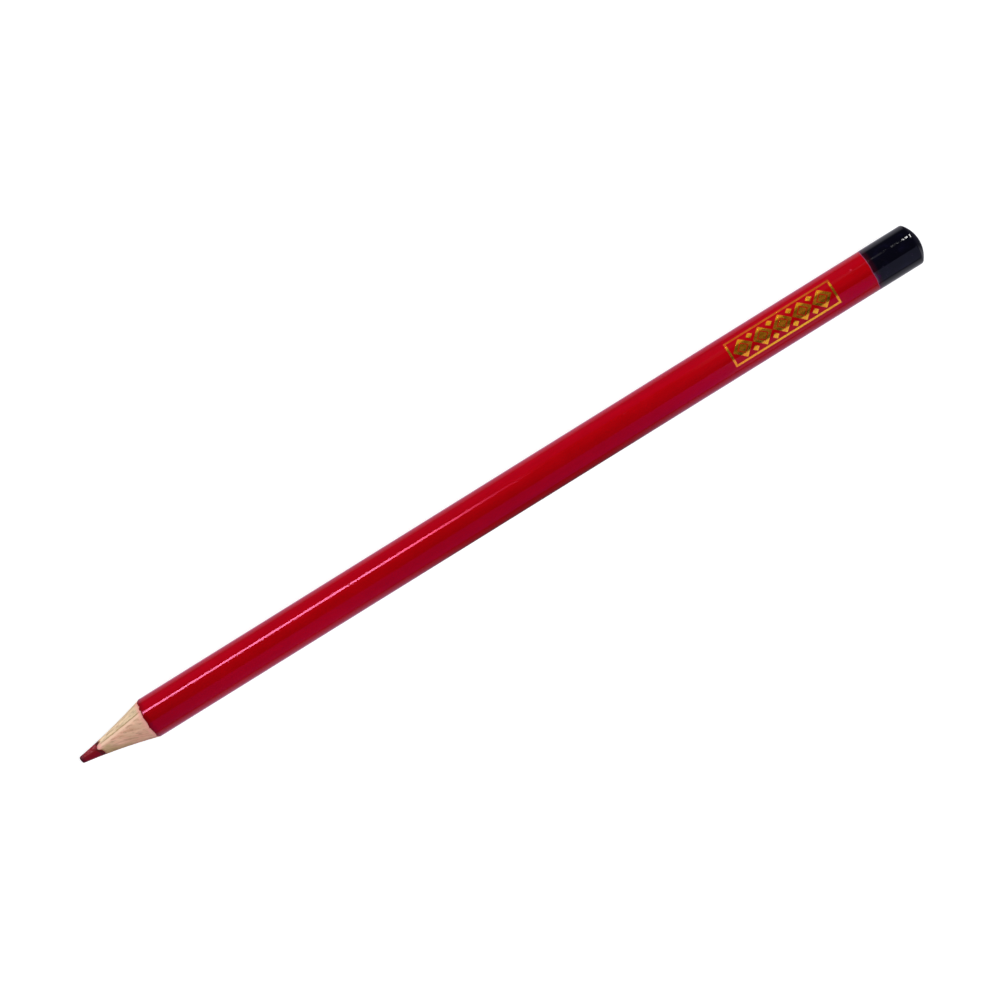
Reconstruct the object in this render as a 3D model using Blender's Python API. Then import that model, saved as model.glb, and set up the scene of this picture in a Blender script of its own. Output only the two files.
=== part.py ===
"""A round checking pencil: two wooden slats glued round a red lead, then filled, lacquered and dipped.

The pencil lies along X on the plane z = 0, with its ground point towards -X and its dipped butt towards +X.
Every piece is turned about the pencil's axis, so it is drawn as a half outline of (x, radius) points, where
x is measured from the blunt tip. One ground profile ends all the pieces at the point, and one rounded profile
ends them at the butt, so that neighbours always finish flush. Lengths are in metres.
"""

import math

import bmesh
import bpy
from mathutils import Matrix, Vector

# The whole pencil
PENCIL_LENGTH = 0.175
BARREL_DIAMETER = 0.00775
FACETS = 48

# The layers, from the axis outwards
LEAD_DIAMETER = 0.0029
GLUE_THICKNESS = 0.00004
FILLER_THICKNESS = 0.00007
LACQUER_THICKNESS = 0.00007
DIP_THICKNESS = 0.00003
FIT_GAP = 0.00001

# The glued joint between the slats leans back from the vertical by this angle
SEAM_ROLL = math.radians(30)

# The ground point: hollow is how far it dips below a straight cone at half its length
POINT_LENGTH = 0.0148
POINT_HOLLOW = 0.00026
POINT_STEPS = 12
TIP_DIAMETER = 0.0013
TIP_EDGE_RADIUS = 0.0002
TIP_STEPS = 4

# The front edge of the lacquer is broken off steeply, over this length
LACQUER_LIP = 0.0001

# The dipped butt: a dome with a small flat land in its middle and a rounded edge
DIP_LENGTH = 0.0099
BUTT_DOME_RADIUS = 0.0058
BUTT_LAND_DIAMETER = 0.0016
BUTT_EDGE_RADIUS = 0.0007
DOME_STEPS = 5
EDGE_STEPS = 4

WELD = 1e-7
SMOOTH_ANGLE = math.radians(30)

# Radii worked out from the sizes above
BARREL_RADIUS = BARREL_DIAMETER / 2
LACQUER_BORE = BARREL_RADIUS - LACQUER_THICKNESS
FILLER_RADIUS = LACQUER_BORE - FIT_GAP
FILLER_BORE = FILLER_RADIUS - FILLER_THICKNESS
SLAT_RADIUS = FILLER_BORE - FIT_GAP
LEAD_RADIUS = LEAD_DIAMETER / 2
GLUE_BORE = LEAD_RADIUS + FIT_GAP
GLUE_RADIUS = GLUE_BORE + GLUE_THICKNESS
GROOVE_RADIUS = GLUE_RADIUS + FIT_GAP
DIP_RADIUS = BARREL_RADIUS + FIT_GAP + DIP_THICKNESS
BUTT_DEPTH = DIP_THICKNESS + FIT_GAP


def ground_radius(x):
    """Radius of the ground point at a distance x from the tip."""
    share = x / POINT_LENGTH
    straight = TIP_DIAMETER / 2 + (BARREL_RADIUS - TIP_DIAMETER / 2) * share
    return straight - 4 * POINT_HOLLOW * share * (1 - share)


def point_line():
    """The ground profile, from the tip out to the full barrel."""
    stations = (POINT_LENGTH * step / POINT_STEPS for step in range(POINT_STEPS + 1))
    return [(x, ground_radius(x)) for x in stations]


def tip_line():
    """The blunt end of the lead: a flat, then a rounded edge that runs into the ground profile."""
    slope = (ground_radius(TIP_EDGE_RADIUS) - ground_radius(0)) / TIP_EDGE_RADIUS
    rise = math.hypot(1, slope)
    centre = ground_radius(TIP_EDGE_RADIUS) - TIP_EDGE_RADIUS * rise
    sweep = math.atan2(1, slope)
    line = [(0.0, 0.0)]
    for step in range(TIP_STEPS + 1):
        turn = sweep * step / TIP_STEPS
        x = TIP_EDGE_RADIUS * (1 - math.cos(turn))
        line.append((x, centre + TIP_EDGE_RADIUS * math.sin(turn)))
    return line


def butt_line(depth):
    """The rounded butt, this far below the dipped surface, from the axis out to the barrel."""
    land = BUTT_LAND_DIAMETER / 2
    dome_x = PENCIL_LENGTH - math.sqrt(BUTT_DOME_RADIUS**2 - land**2)
    edge_radius = DIP_RADIUS - BUTT_EDGE_RADIUS
    edge_x = dome_x + math.sqrt((BUTT_DOME_RADIUS - BUTT_EDGE_RADIUS) ** 2 - edge_radius**2)
    dome = BUTT_DOME_RADIUS - depth
    land_turn = math.acos((PENCIL_LENGTH - depth - dome_x) / dome)
    edge_turn = math.atan2(edge_radius, edge_x - dome_x)
    line = [(PENCIL_LENGTH - depth, 0.0)]
    for step in range(DOME_STEPS + 1):
        turn = land_turn + (edge_turn - land_turn) * step / DOME_STEPS
        line.append((dome_x + dome * math.cos(turn), dome * math.sin(turn)))
    edge = BUTT_EDGE_RADIUS - depth
    for step in range(1, EDGE_STEPS + 1):
        turn = edge_turn + (math.pi / 2 - edge_turn) * step / EDGE_STEPS
        line.append((edge_x + edge * math.cos(turn), edge_radius + edge * math.sin(turn)))
    return line


def crossing(line, radius):
    """Where a line of rising radius reaches this radius."""
    for (x, low), (next_x, high) in zip(line, line[1:]):
        if low <= radius <= high + WELD:
            return (x + (next_x - x) * (radius - low) / (high - low), radius)
    raise ValueError(f"no point of the profile has the radius {radius}")


def between(line, inner, outer):
    """The stretch of a line of rising radius between two radii."""
    inside = [point for point in line if inner + WELD < point[1] < outer - WELD]
    return [crossing(line, inner), *inside, crossing(line, outer)]


def sleeve_outline(inner, outer):
    """A sleeve round the lead that runs from the ground point to the butt."""
    front = between(point_line(), inner, outer)
    back = between(butt_line(BUTT_DEPTH), inner, outer)
    return front + back[::-1]


def lead_outline():
    tip = tip_line()
    front = between(point_line(), tip[-1][1], LEAD_RADIUS)
    back = between(butt_line(BUTT_DEPTH), 0.0, LEAD_RADIUS)
    return tip + front[1:] + back[::-1]


def lacquer_outline():
    """The sleeve of lacquer, with a front edge that stands proud of the ground surface."""
    start, radius = crossing(point_line(), LACQUER_BORE)
    back = between(butt_line(BUTT_DEPTH), LACQUER_BORE, BARREL_RADIUS)
    return [(start, radius), (start + LACQUER_LIP, BARREL_RADIUS)] + back[::-1]


def dip_outline():
    """A cup of even thickness over the butt."""
    outside = butt_line(0.0)
    inside = butt_line(DIP_THICKNESS)
    lip = PENCIL_LENGTH - DIP_LENGTH
    return outside + [(lip, outside[-1][1]), (lip, inside[-1][1])] + inside[::-1]


def turn_outline(outline):
    """A body turned about the X axis. An outline that starts on the axis is left open there."""
    body = bmesh.new()
    half_facet = Matrix.Rotation(math.pi / FACETS, 4, "X")
    points = [body.verts.new(half_facet @ Vector((x, 0, radius))) for x, radius in outline]
    pairs = list(zip(points, points[1:]))
    if outline[0][1] > 0:
        pairs.append((points[-1], points[0]))
    sides = [body.edges.new(pair) for pair in pairs]
    bmesh.ops.spin(
        body,
        geom=points + sides,
        axis=(1, 0, 0),
        cent=(0, 0, 0),
        angle=math.tau,
        steps=FACETS,
        use_merge=True,
    )
    bmesh.ops.remove_doubles(body, verts=body.verts, dist=WELD)
    bmesh.ops.recalc_face_normals(body, faces=body.faces)
    return body


def halve(body, side):
    """Keeps one side of the glued joint and closes the two sawn faces."""
    away = Matrix.Rotation(-SEAM_ROLL, 4, "X") @ Vector((0, side, 0))
    cut = bmesh.ops.bisect_plane(
        body,
        geom=[*body.verts, *body.edges, *body.faces],
        dist=WELD,
        plane_co=away * (GLUE_THICKNESS / 2 + FIT_GAP),
        plane_no=away,
        clear_inner=True,
    )
    rim = [item for item in cut["geom_cut"] if isinstance(item, bmesh.types.BMEdge)]
    bmesh.ops.holes_fill(body, edges=rim, sides=0)
    bmesh.ops.recalc_face_normals(body, faces=body.faces)
    return body


def seam_film():
    """The two flat strips of glue between the slats. Each starts inside the wall of the sleeve of glue."""
    body = bmesh.new()
    outline = sleeve_outline(GLUE_BORE + GLUE_THICKNESS / 2, SLAT_RADIUS)
    lean = Matrix.Rotation(-SEAM_ROLL, 4, "X")
    across = lean @ Vector((0, 1, 0))
    for side in (1, -1):
        corners = [lean @ Vector((x, 0, side * radius)) for x, radius in outline]
        low = [body.verts.new(corner - across * GLUE_THICKNESS / 2) for corner in corners]
        raised = bmesh.ops.extrude_face_region(body, geom=[body.faces.new(low)])
        top = [item for item in raised["geom"] if isinstance(item, bmesh.types.BMVert)]
        bmesh.ops.translate(body, verts=top, vec=across * GLUE_THICKNESS)
    bmesh.ops.recalc_face_normals(body, faces=body.faces)
    return body


def finish(name, colour, roughness):
    """A plain Principled finish."""
    material = bpy.data.materials.new(name)
    material.use_nodes = True
    shader = material.node_tree.nodes["Principled BSDF"]
    shader.inputs["Base Color"].default_value = (*colour, 1.0)
    shader.inputs["Roughness"].default_value = roughness
    shader.inputs["Metallic"].default_value = 0.0
    return material


def place(name, body, axis, material):
    """Makes an object of a body that is drawn about the pencil's axis."""
    mesh = bpy.data.meshes.new(name)
    body.to_mesh(mesh)
    body.free()
    mesh.materials.append(material)
    mesh.shade_smooth()
    mesh.set_sharp_from_angle(angle=SMOOTH_ANGLE)
    piece = bpy.data.objects.new(name, mesh)
    piece.parent = axis
    bpy.context.scene.collection.objects.link(piece)
    return piece


def pencil_axis():
    """The pencil's axis, at the height that lays the dipped end's lowest facet on z = 0."""
    axis = bpy.data.objects.new("pencil_axis", None)
    axis.location = (-PENCIL_LENGTH / 2, 0, DIP_RADIUS * math.cos(math.pi / FACETS))
    bpy.context.scene.collection.objects.link(axis)
    return axis


def add_slats(axis):
    outline = sleeve_outline(GROOVE_RADIUS, SLAT_RADIUS)
    rear_wood = finish("rear_slat_wood", (0.69, 0.49, 0.31), 0.6)
    front_wood = finish("front_slat_wood", (0.66, 0.42, 0.30), 0.6)
    place("rear_slat", halve(turn_outline(outline), 1), axis, rear_wood)
    place("front_slat", halve(turn_outline(outline), -1), axis, front_wood)


def add_lead(axis):
    red_lead = finish("red_lead", (0.19, 0.008, 0.012), 0.45)
    place("lead_core", turn_outline(lead_outline()), axis, red_lead)


def add_glue(axis):
    """One film: a sleeve round the lead with a strip to each side."""
    glue = finish("set_glue", (0.35, 0.22, 0.11), 0.4)
    strips = place("glue_strips", seam_film(), axis, glue)
    strips.hide_render = True
    strips.display_type = "WIRE"
    film = place("glue_film", turn_outline(sleeve_outline(GLUE_BORE, GLUE_RADIUS)), axis, glue)
    join = film.modifiers.new("strips", "BOOLEAN")
    join.operation = "UNION"
    join.object = strips


def add_coats(axis):
    filler = finish("pale_filler", (0.72, 0.50, 0.44), 0.7)
    lacquer = finish("red_lacquer", (0.36, 0.002, 0.008), 0.12)
    dip = finish("black_dip", (0.004, 0.004, 0.006), 0.1)
    place("filler_coat", turn_outline(sleeve_outline(FILLER_BORE, FILLER_RADIUS)), axis, filler)
    place("lacquer_coat", turn_outline(lacquer_outline()), axis, lacquer)
    place("dip_coat", turn_outline(dip_outline()), axis, dip)


def main():
    for leftover in list(bpy.data.objects):
        bpy.data.objects.remove(leftover)
    axis = pencil_axis()
    add_slats(axis)
    add_lead(axis)
    add_glue(axis)
    add_coats(axis)


main()
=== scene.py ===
"""Looks of a round, wood-cased checking pencil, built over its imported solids.

Every piece is turned finer than the solid it stands for: two wooden slats, the red lead and the glue between
them, all cut by one ground cone, then the filler, the red lacquer and the black dip. A foil ornament lies on
the barrel. Bodies are turned about the X axis and raised to the pencil's axis when they are finished. Lengths
are in metres. Textures work in millimetres, with x counted from the tip and y and z from the axis.
"""

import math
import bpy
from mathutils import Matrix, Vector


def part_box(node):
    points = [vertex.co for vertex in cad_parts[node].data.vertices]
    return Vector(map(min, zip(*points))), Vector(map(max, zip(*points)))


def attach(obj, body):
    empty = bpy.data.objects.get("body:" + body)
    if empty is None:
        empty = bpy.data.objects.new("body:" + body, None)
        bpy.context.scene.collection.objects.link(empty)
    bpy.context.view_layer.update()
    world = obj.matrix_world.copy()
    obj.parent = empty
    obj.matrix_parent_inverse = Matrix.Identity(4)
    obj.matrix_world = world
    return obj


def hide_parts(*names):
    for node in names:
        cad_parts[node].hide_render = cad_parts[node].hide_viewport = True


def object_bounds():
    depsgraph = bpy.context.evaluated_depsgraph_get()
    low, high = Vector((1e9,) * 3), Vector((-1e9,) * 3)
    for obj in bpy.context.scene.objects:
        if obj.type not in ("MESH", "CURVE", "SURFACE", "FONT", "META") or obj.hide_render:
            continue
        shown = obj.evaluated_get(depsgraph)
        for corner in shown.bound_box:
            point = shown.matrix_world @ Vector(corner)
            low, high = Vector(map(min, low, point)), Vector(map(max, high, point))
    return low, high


bl_info = {
    "name": "Checking Pencil",
    "version": (1, 0, 0),
    "blender": (4, 5, 0),
    "location": "3D View > Sidebar > Pencil",
    "description": "Turns the fine pieces of a checking pencil and lights them",
    "category": "Object",
}

import bmesh
import bpy
from bpy.props import FloatProperty, FloatVectorProperty, IntProperty, PointerProperty
from bpy.types import Operator, Panel, PropertyGroup
from mathutils import Matrix, Vector, noise

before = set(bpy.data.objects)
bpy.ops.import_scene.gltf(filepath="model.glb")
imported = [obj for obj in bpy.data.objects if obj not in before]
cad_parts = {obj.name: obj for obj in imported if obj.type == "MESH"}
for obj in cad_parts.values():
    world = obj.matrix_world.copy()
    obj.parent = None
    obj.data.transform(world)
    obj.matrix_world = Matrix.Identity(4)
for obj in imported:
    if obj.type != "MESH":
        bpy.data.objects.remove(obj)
CAD_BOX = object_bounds()

MM = 0.001
WELD = 1e-8
SHARP = math.radians(40)

# How finely the pieces are turned
BARREL_STEPS = 256
CONE_STEPS = 110
LEAD_STEPS = 60
GLUE_STEPS = 4
FILLER_STEPS = 3
END_STEPS = 4
LIP_STEPS = 6
WALL_STEPS = 60
DOME_STEPS = 24
EDGE_STEPS = 10
FOIL_BANDS = 34

# How far behind a front edge the cutter's shift holds in full, and the lengths over which shifts fade out
EDGE_HOLD = 0.1 * MM
FILLER_FADE = 0.5 * MM
LACQUER_FADE = 1.1 * MM
DIP_FADE = 2.0 * MM
BLUNT_LENGTH = 0.6 * MM

# Rings of the lacquer, in millimetres behind its own front edge and behind that of the dip
LIP_RINGS = (0.5, 0.9, 1.4)
DIP_RINGS = (1.0, 3.0)

# Share of the joint that the glue fills
GLUE_FILL = 0.9

# Places that textures pick out, in millimetres: the casing's tongue over the lead, which gets lead stain and
# a painted highlight, and a small bump in the lacquer that gets a painted highlight
TONGUE_Y = 0.36
BEAD = (161.8, 1.77, 3.43)

# Tints of the lights
WHITE = (1.0, 1.0, 1.0)
WARM = (1.0, 0.98, 0.95)
COOL = (0.61, 0.63, 1.0)
LILAC = (0.73, 0.73, 1.0)
PURPLE = (0.75, 0.08, 1.0)
PINK = (1.0, 0.05, 0.60)
AMBER = (1.0, 0.43, 0.33)
STRAW = (1.0, 0.75, 0.50)

# The long strip: its turn, distance and width, then the steps and radiances in which it fades out
STRIP_ROLL, STRIP_FAR, STRIP_WIDTH = 41.7, 0.5, 0.085
FADE_START, FADE_STEP = -0.071, 0.01
FADES = (28.8, 25.2, 17.28, 10.56, 5.28, 1.92)

# Cards in front of the pencil: their turn and height. Cards over the foil: their place and width
FRONT_ROLL, FRONT_HEIGHT = -58, 0.74
FOIL_X, FOIL_WIDTH = 0.107, 0.075

# Half the width of the floor
FLOOR_REACH = 4.0

AXIS_Z = sum(corner.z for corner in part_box("dip_coat")) / 2
TIP_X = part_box("lead_core")[0].x
BUTT_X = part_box("dip_coat")[1].x


def half_height(node):
    low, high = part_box(node)
    return (high.z - low.z) / 2


def points(node):
    """The places of a solid's vertices."""
    return [vertex.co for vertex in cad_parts[node].data.vertices]


def reach(point):
    """Distance of a place from the pencil's axis."""
    return math.hypot(point.y, point.z - AXIS_Z)


def rings(node):
    """The rings of a turned solid as (x, radius) from tip to butt, the widest where several share an x."""
    widest = {}
    for point in points(node):
        x = round(point.x, 7)
        widest[x] = max(widest.get(x, 0.0), reach(point))
    return sorted(widest.items())


# A round piece stays inside the faceted solid: its radius is that of the middle of a facet
ROUNDNESS = half_height("lacquer_coat") / max(radius for x, radius in rings("lacquer_coat"))
LEAD_RADIUS = half_height("lead_core")
GROOVE_RADIUS = min(map(reach, points("front_slat"))) * ROUNDNESS
SLAT_RADIUS = max(map(reach, points("front_slat"))) * ROUNDNESS
FILLER_RADIUS = half_height("filler_coat")
LACQUER_RADIUS = half_height("lacquer_coat")
DIP_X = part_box("dip_coat")[0].x
GLUE_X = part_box("glue_film")[0].x


def ground_rings():
    """The ground point as (x, radius) from the blunt tip to the lacquer, read off the solids that it cuts."""
    line = []
    for node in ("lead_core", "front_slat", "filler_coat"):
        for x, radius in rings(node):
            if line and radius * ROUNDNESS <= line[-1][1] + WELD:
                break
            line.append((x, radius * ROUNDNESS))
    return line


GROUND = ground_rings()


def ground_x(radius):
    """Where along the pencil the ground point has this radius."""
    for (x, low), (next_x, high) in zip(GROUND, GROUND[1:]):
        if radius <= high:
            break
    return x + (next_x - x) * max(0.0, (radius - low) / (high - low))


def butt_rings(node):
    """The rings of a solid's rounded butt, from the barrel in towards the axis."""
    return [(x, radius * ROUNDNESS) for x, radius in rings(node) if x > 0]


def seam():
    """Unit vector across the glued joint towards the rear slat, and half the width of the joint."""
    rear, front = points("rear_slat"), points("front_slat")
    across = sum(rear, Vector()) / len(rear) - sum(front, Vector()) / len(front)
    across.x = 0.0
    across.normalize()
    axis = Vector((0.0, 0.0, AXIS_Z))
    return across, min(across.dot(point - axis) for point in rear)


SEAM_ACROSS, SEAM_GAP = seam()


def length(name, description, default):
    return FloatProperty(name=name, description=description, default=default, unit="LENGTH", precision=6)


def angle(name, description, degrees):
    return FloatProperty(name=name, description=description, default=math.radians(degrees), subtype="ANGLE")


def share(name, description, default):
    return FloatProperty(name=name, description=description, default=default, subtype="FACTOR", min=0, max=1)


def count(name, description, default):
    return IntProperty(name=name, description=description, default=default, min=1)


def colour(name, description, default):
    return FloatVectorProperty(
        name=name, description=description, default=default, size=3, min=0, max=1, subtype="COLOR"
    )


def section(kind, name, description):
    return PointerProperty(type=kind, name=name, description=description)


class PointSettings(PropertyGroup):
    """The ground point, which the casing, glue, lead, filler and lacquer share."""

    flats: count("Cutter flats", "Shallow flats that the cutter leaves round the cone", 11)
    flat_depth: length("Flat depth", "How far a flat sets back the ground edges", 0.00015)
    wander: length("Wander", "How far along the pencil the cutter wanders", 0.00008)
    fibre: length("Fibre height", "Height of the fibres that the cutter raises", 0.000012)
    lap: share("Lead flat", "Share of the lead's radius that is missing where the casing laps over it", 0.10)
    lap_roll: angle("Lap place", "Turn from the top to the middle of that flat", 13)
    lap_width: angle("Lap width", "Turn over which that flat fades away", 25)
    uneven: share("Uneven lead", "Share of the lead's radius by which it is out of round", 0.012)


class CasingSettings(PropertyGroup):
    """The two slats of bare wood."""

    rear_tone: colour("Rear slat", "Wood of the rear slat", (0.74, 0.56, 0.36))
    rear_light: colour("Rear early wood", "Lightest streaks of the rear slat", (0.96, 0.73, 0.50))
    front_tone: colour("Front slat", "Wood of the front slat", (0.84, 0.44, 0.31))
    front_light: colour("Front early wood", "Lightest streaks of the front slat", (0.95, 0.60, 0.43))
    olive: colour("Sap stain", "Yellowish patches in the wood", (0.56, 0.39, 0.20))
    pore: colour("Pores", "Dark fibres and pores", (0.30, 0.14, 0.08))
    # Lead stain in a thin ring round the lead; on the tongue over the lead this pale pink is mostly a painted
    # highlight
    smear_and_highlight: colour("Smear", "Wood stained by the lead", (1.0, 0.46, 0.42))
    glue: colour("Glue", "Set glue in the joint", (0.48, 0.30, 0.12))
    # Painted highlight: a pale band on the front slat just beside the joint, on the upper part of the cone
    # only
    beside: colour("Beside the joint", "Pale wood in front of the joint", (1.0, 0.70, 0.52))


class LeadSettings(PropertyGroup):
    """The red lead."""

    tone: colour("Lead", "Waxy pigment of the lead", (0.23, 0.002, 0.008))
    # Partly chalky cutter marks, partly a painted sheen: the finish puts them on the upper side only
    scuff_and_sheen: colour("Scuffs", "Chalky marks left by the cutter", (0.46, 0.10, 0.13))
    # Colour of the last 0.5 to 1.7 mm of the blunt end, which is painted darker
    worn: colour("Worn end", "Rubbed, darker blunt end", (0.045, 0.004, 0.014))
    # Colour of darker noisy patches in a ring just inside the lead's edge, where the casing begins
    dust: colour("Dust", "Wood dust in the edges where the casing begins", (0.042, 0.014, 0.008))
    slant: length("Slant", "How far one side of the blunt end is worn back", 0.00007)
    crumbs: length("Crumbs", "Roughness of the ground lead", 0.000006)


class CoatSettings(PropertyGroup):
    """The filler and the red lacquer."""

    filler: colour("Filler", "Pale primer in the grain of the wood", (1.0, 0.50, 0.42))
    red: colour("Red", "Red lacquer", (0.44, 0.0006, 0.0035))
    deep_red: colour("Deep red", "Thicker, darker lacquer", (0.39, 0.0005, 0.002))
    # Darker red of the cut front edge, also used as painted shade near the tip and just behind that edge
    cut_edge_and_shade: colour("Cut edge", "Rubbed front edge of the lacquer", (0.20, 0.001, 0.002))
    # Painted highlight on a small bump in the lacquer near the dip
    bead_and_highlight: colour("Bead", "Small bright bead in the lacquer near the dip", (0.75, 0.05, 0.11))
    lip: length("Edge length", "Length of the rounded front edge of the lacquer", 0.00036)
    chip: length("Chips", "Depth of the chips in that edge", 0.00018)


class DipSettings(PropertyGroup):
    """The black dipped butt."""

    black: colour("Black", "Black dipping lacquer", (0.0010, 0.0008, 0.0042))
    thin: colour("Thin black", "Hazy front edge, where the red shows through", (0.26, 0.035, 0.09))
    maroon: colour("Maroon", "Behind that edge, where the film is still thin", (0.022, 0.0012, 0.006))
    film: length("Film", "Thickness of the dip over the lacquer", 0.000016)
    dome: length("Dome radius", "Radius of the domed end", 0.0058)
    land: length("Land", "Flat in the middle of the dome, across", 0.0016)
    edge: length("Edge radius", "Radius where the dome meets the barrel", 0.0007)
    lip: length("Front edge", "Length over which the front edge of the dip feathers out", 0.00040)
    lean: length("Lean", "How far the front edge of the dip leans round the barrel", 0.00005)
    early: length("Early", "How far that edge runs ahead of its solid", 0.00036)
    waver: length("Waver", "How unevenly that edge runs", 0.00010)
    ripple: length("Ripple", "Height of the ripples in the dip", 0.000002)


class FoilSettings(PropertyGroup):
    """The hot foil ornament on the barrel."""

    gold: colour("Gold", "Bright foil", (0.97, 0.60, 0.03))
    bronze: colour("Bronze", "Thin, duller foil", (0.80, 0.44, 0.02))
    middle: length("Middle", "From the tip to the middle of the ornament", 0.1469)
    reach: length("Length", "Length of the ornament", 0.0214)
    height: length("Height", "Height of the ornament round the barrel", 0.0050)
    roll: angle("Roll", "Turn from the top to the middle of the ornament", 3)
    lozenges: count("Lozenges", "Large lozenges in the row", 5)
    border: length("Border", "Width of the plain border round the row", 0.00040)
    thick: length("Thickness", "How far the foil stands proud of the lacquer", 0.000008)


class StageSettings(PropertyGroup):
    """The camera, the floor and the room."""

    distance: length("Distance", "From the camera to the middle of the pencil", 0.40)
    tilt: angle("Tilt", "How far the camera leans towards the dipped end", 3.2)
    aim: length("Aim", "From the middle of the pencil to the middle of the picture", 0.0011)
    turn: angle("Turn", "How the pencil is turned in the picture", 31.87)
    width: length("Frame width", "Width of the picture at the pencil", 0.17722)
    floor: colour("Floor", "Pale floor", (0.36, 0.36, 0.36))
    room: colour("Room", "Dim room round the pencil", (0.06, 0.06, 0.07))
    ground: colour("Ground", "What the gloss reflects of the ground", (0.80, 0.50, 0.76))
    butt_ground: colour("Ground by the butt", "What it reflects beside the dip", (0.62, 0.61, 0.69))


class PencilSettings(PropertyGroup):
    """All settings of the pencil."""

    point: section(PointSettings, "Point", "Ground point")
    casing: section(CasingSettings, "Casing", "Wooden slats")
    lead: section(LeadSettings, "Lead", "Red lead")
    coat: section(CoatSettings, "Coats", "Filler and lacquer")
    dip: section(DipSettings, "Dip", "Dipped butt")
    foil: section(FoilSettings, "Foil", "Foil ornament")
    stage: section(StageSettings, "Stage", "Camera, floor and room")


class Level:
    """A number that varies over a surface: a node's output that takes part in Python expressions."""

    def __init__(self, nodes, socket):
        self.nodes = nodes
        self.socket = socket

    def __add__(self, other):
        return self.nodes.maths("ADD", self, other)

    def __sub__(self, other):
        return self.nodes.maths("SUBTRACT", self, other)

    def __rsub__(self, other):
        return self.nodes.maths("SUBTRACT", other, self)

    def __mul__(self, other):
        return self.nodes.maths("MULTIPLY", self, other)

    __radd__ = __add__
    __rmul__ = __mul__


class Nodes:
    """A node tree under construction."""

    def __init__(self, tree):
        self.tree = tree

    def node(self, kind, settings=None, sockets=None, output=0):
        """Adds a node: its settings first, then values or links for its sockets. Gives one of its outputs."""
        made = self.tree.nodes.new(kind)
        for name, value in (settings or {}).items():
            setattr(made, name, value)
        for name, value in (sockets or {}).items():
            if isinstance(value, Level):
                self.tree.links.new(value.socket, made.inputs[name])
            else:
                made.inputs[name].default_value = value
        return Level(self, made.outputs[output])

    def maths(self, operation, *values):
        return self.node("ShaderNodeMath", {"operation": operation}, dict(enumerate(values)))

    def apart(self, vector):
        """The three parts of a vector."""
        outputs = self.node("ShaderNodeSeparateXYZ", None, {"Vector": vector}).socket.node.outputs
        return [Level(self, output) for output in outputs]

    def step(self, level, low, high):
        """0 below low and 1 above high, with a smooth rise between. A high below low turns it round."""
        sockets = {"Value": level, "From Min": low, "From Max": high}
        return self.node("ShaderNodeMapRange", {"interpolation_type": "SMOOTHSTEP"}, sockets)

    def mix(self, factor, first, second):
        """A colour between two others. Colours are (r, g, b) or earlier mixes."""
        tones = {}
        for socket, tone in ((6, first), (7, second)):
            tones[socket] = tone if isinstance(tone, Level) else (*tone, 1.0)
        return self.node("ShaderNodeMix", {"data_type": "RGBA"}, {0: factor, **tones}, 2)


class Finish(Nodes):
    """A procedural material. Its constants are set on the shader's own sockets."""

    def __init__(self, name, specular, constants=None):
        self.material = bpy.data.materials.new(name)
        self.material.use_nodes = True
        super().__init__(self.material.node_tree)
        self.shader = self.tree.nodes["Principled BSDF"]
        for socket, value in {"Specular IOR Level": specular, **(constants or {})}.items():
            self.shader.inputs[socket].default_value = value
        metres = self.node("ShaderNodeTexCoord", output="Object")
        tip = (-TIP_X / MM, 0.0, -AXIS_Z / MM)
        self.place = self.mapped("POINT", metres, Location=tip, Scale=(1 / MM,) * 3)
        self.x, self.y, self.z = self.apart(self.place)

    def mapped(self, kind, place, **sockets):
        return self.node("ShaderNodeMapping", {"vector_type": kind}, {"Vector": place, **sockets})

    def radius(self):
        """Distance from the pencil's axis, in millimetres."""
        return self.maths("SQRT", self.y * self.y + self.z * self.z)

    def near(self, point):
        """Distance from a point, in millimetres."""
        return self.node("ShaderNodeVectorMath", {"operation": "DISTANCE"}, {0: self.place, 1: point}, 1)

    def tongue(self):
        """1 in the tongue of casing that laps over the lead, where the lead has stained it and a highlight is
        painted.
        """
        beside = self.maths("ABSOLUTE", self.y - TONGUE_Y)
        return self.step(beside, 0.66, 0.26) * self.step(self.z, 0.2, 0.8)

    def grain(self, along, across, detail=2.0, rough=0.5, turn=(0, 0, 0), shift=(0, 0, 0)):
        """Cloudy noise, with this many features to the millimetre along and across the pencil."""
        size = 1 / along, 1 / across, 1 / across
        place = self.mapped("TEXTURE", self.place, Location=shift, Rotation=turn, Scale=size)
        sockets = {"Vector": place, "Scale": 1.0, "Detail": detail, "Roughness": rough}
        return self.node("ShaderNodeTexNoise", {"noise_dimensions": "3D"}, sockets)

    def specks(self, along, across, kept, size):
        """Small round specks, one to a cell and only in the kept share of the cells."""
        place = self.mapped("POINT", self.place, Scale=(along, across, across))
        cells = {"voronoi_dimensions": "3D", "feature": "F1"}
        near = self.node("ShaderNodeTexVoronoi", cells, {"Vector": place, "Scale": 1.0})
        lot = Level(self, near.socket.node.outputs["Color"])
        chance = self.node("ShaderNodeSeparateColor", None, {"Color": lot})
        return self.step(near, size, size * 0.3) * self.step(chance, kept, kept * 0.98)

    def feed(self, socket, level):
        self.tree.links.new(level.socket, self.shader.inputs[socket])

    def done(self, base, rough, height=None, microns=0):
        """Feeds the colour, the roughness and a relief this many micrometres high. Gives the material."""
        self.feed("Base Color", base)
        self.feed("Roughness", rough)
        if height is not None:
            relief = {"Height": height, "Distance": microns * 1e-6, "Strength": 1.0}
            self.feed("Normal", self.node("ShaderNodeBump", None, relief))
        return self.material


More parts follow.
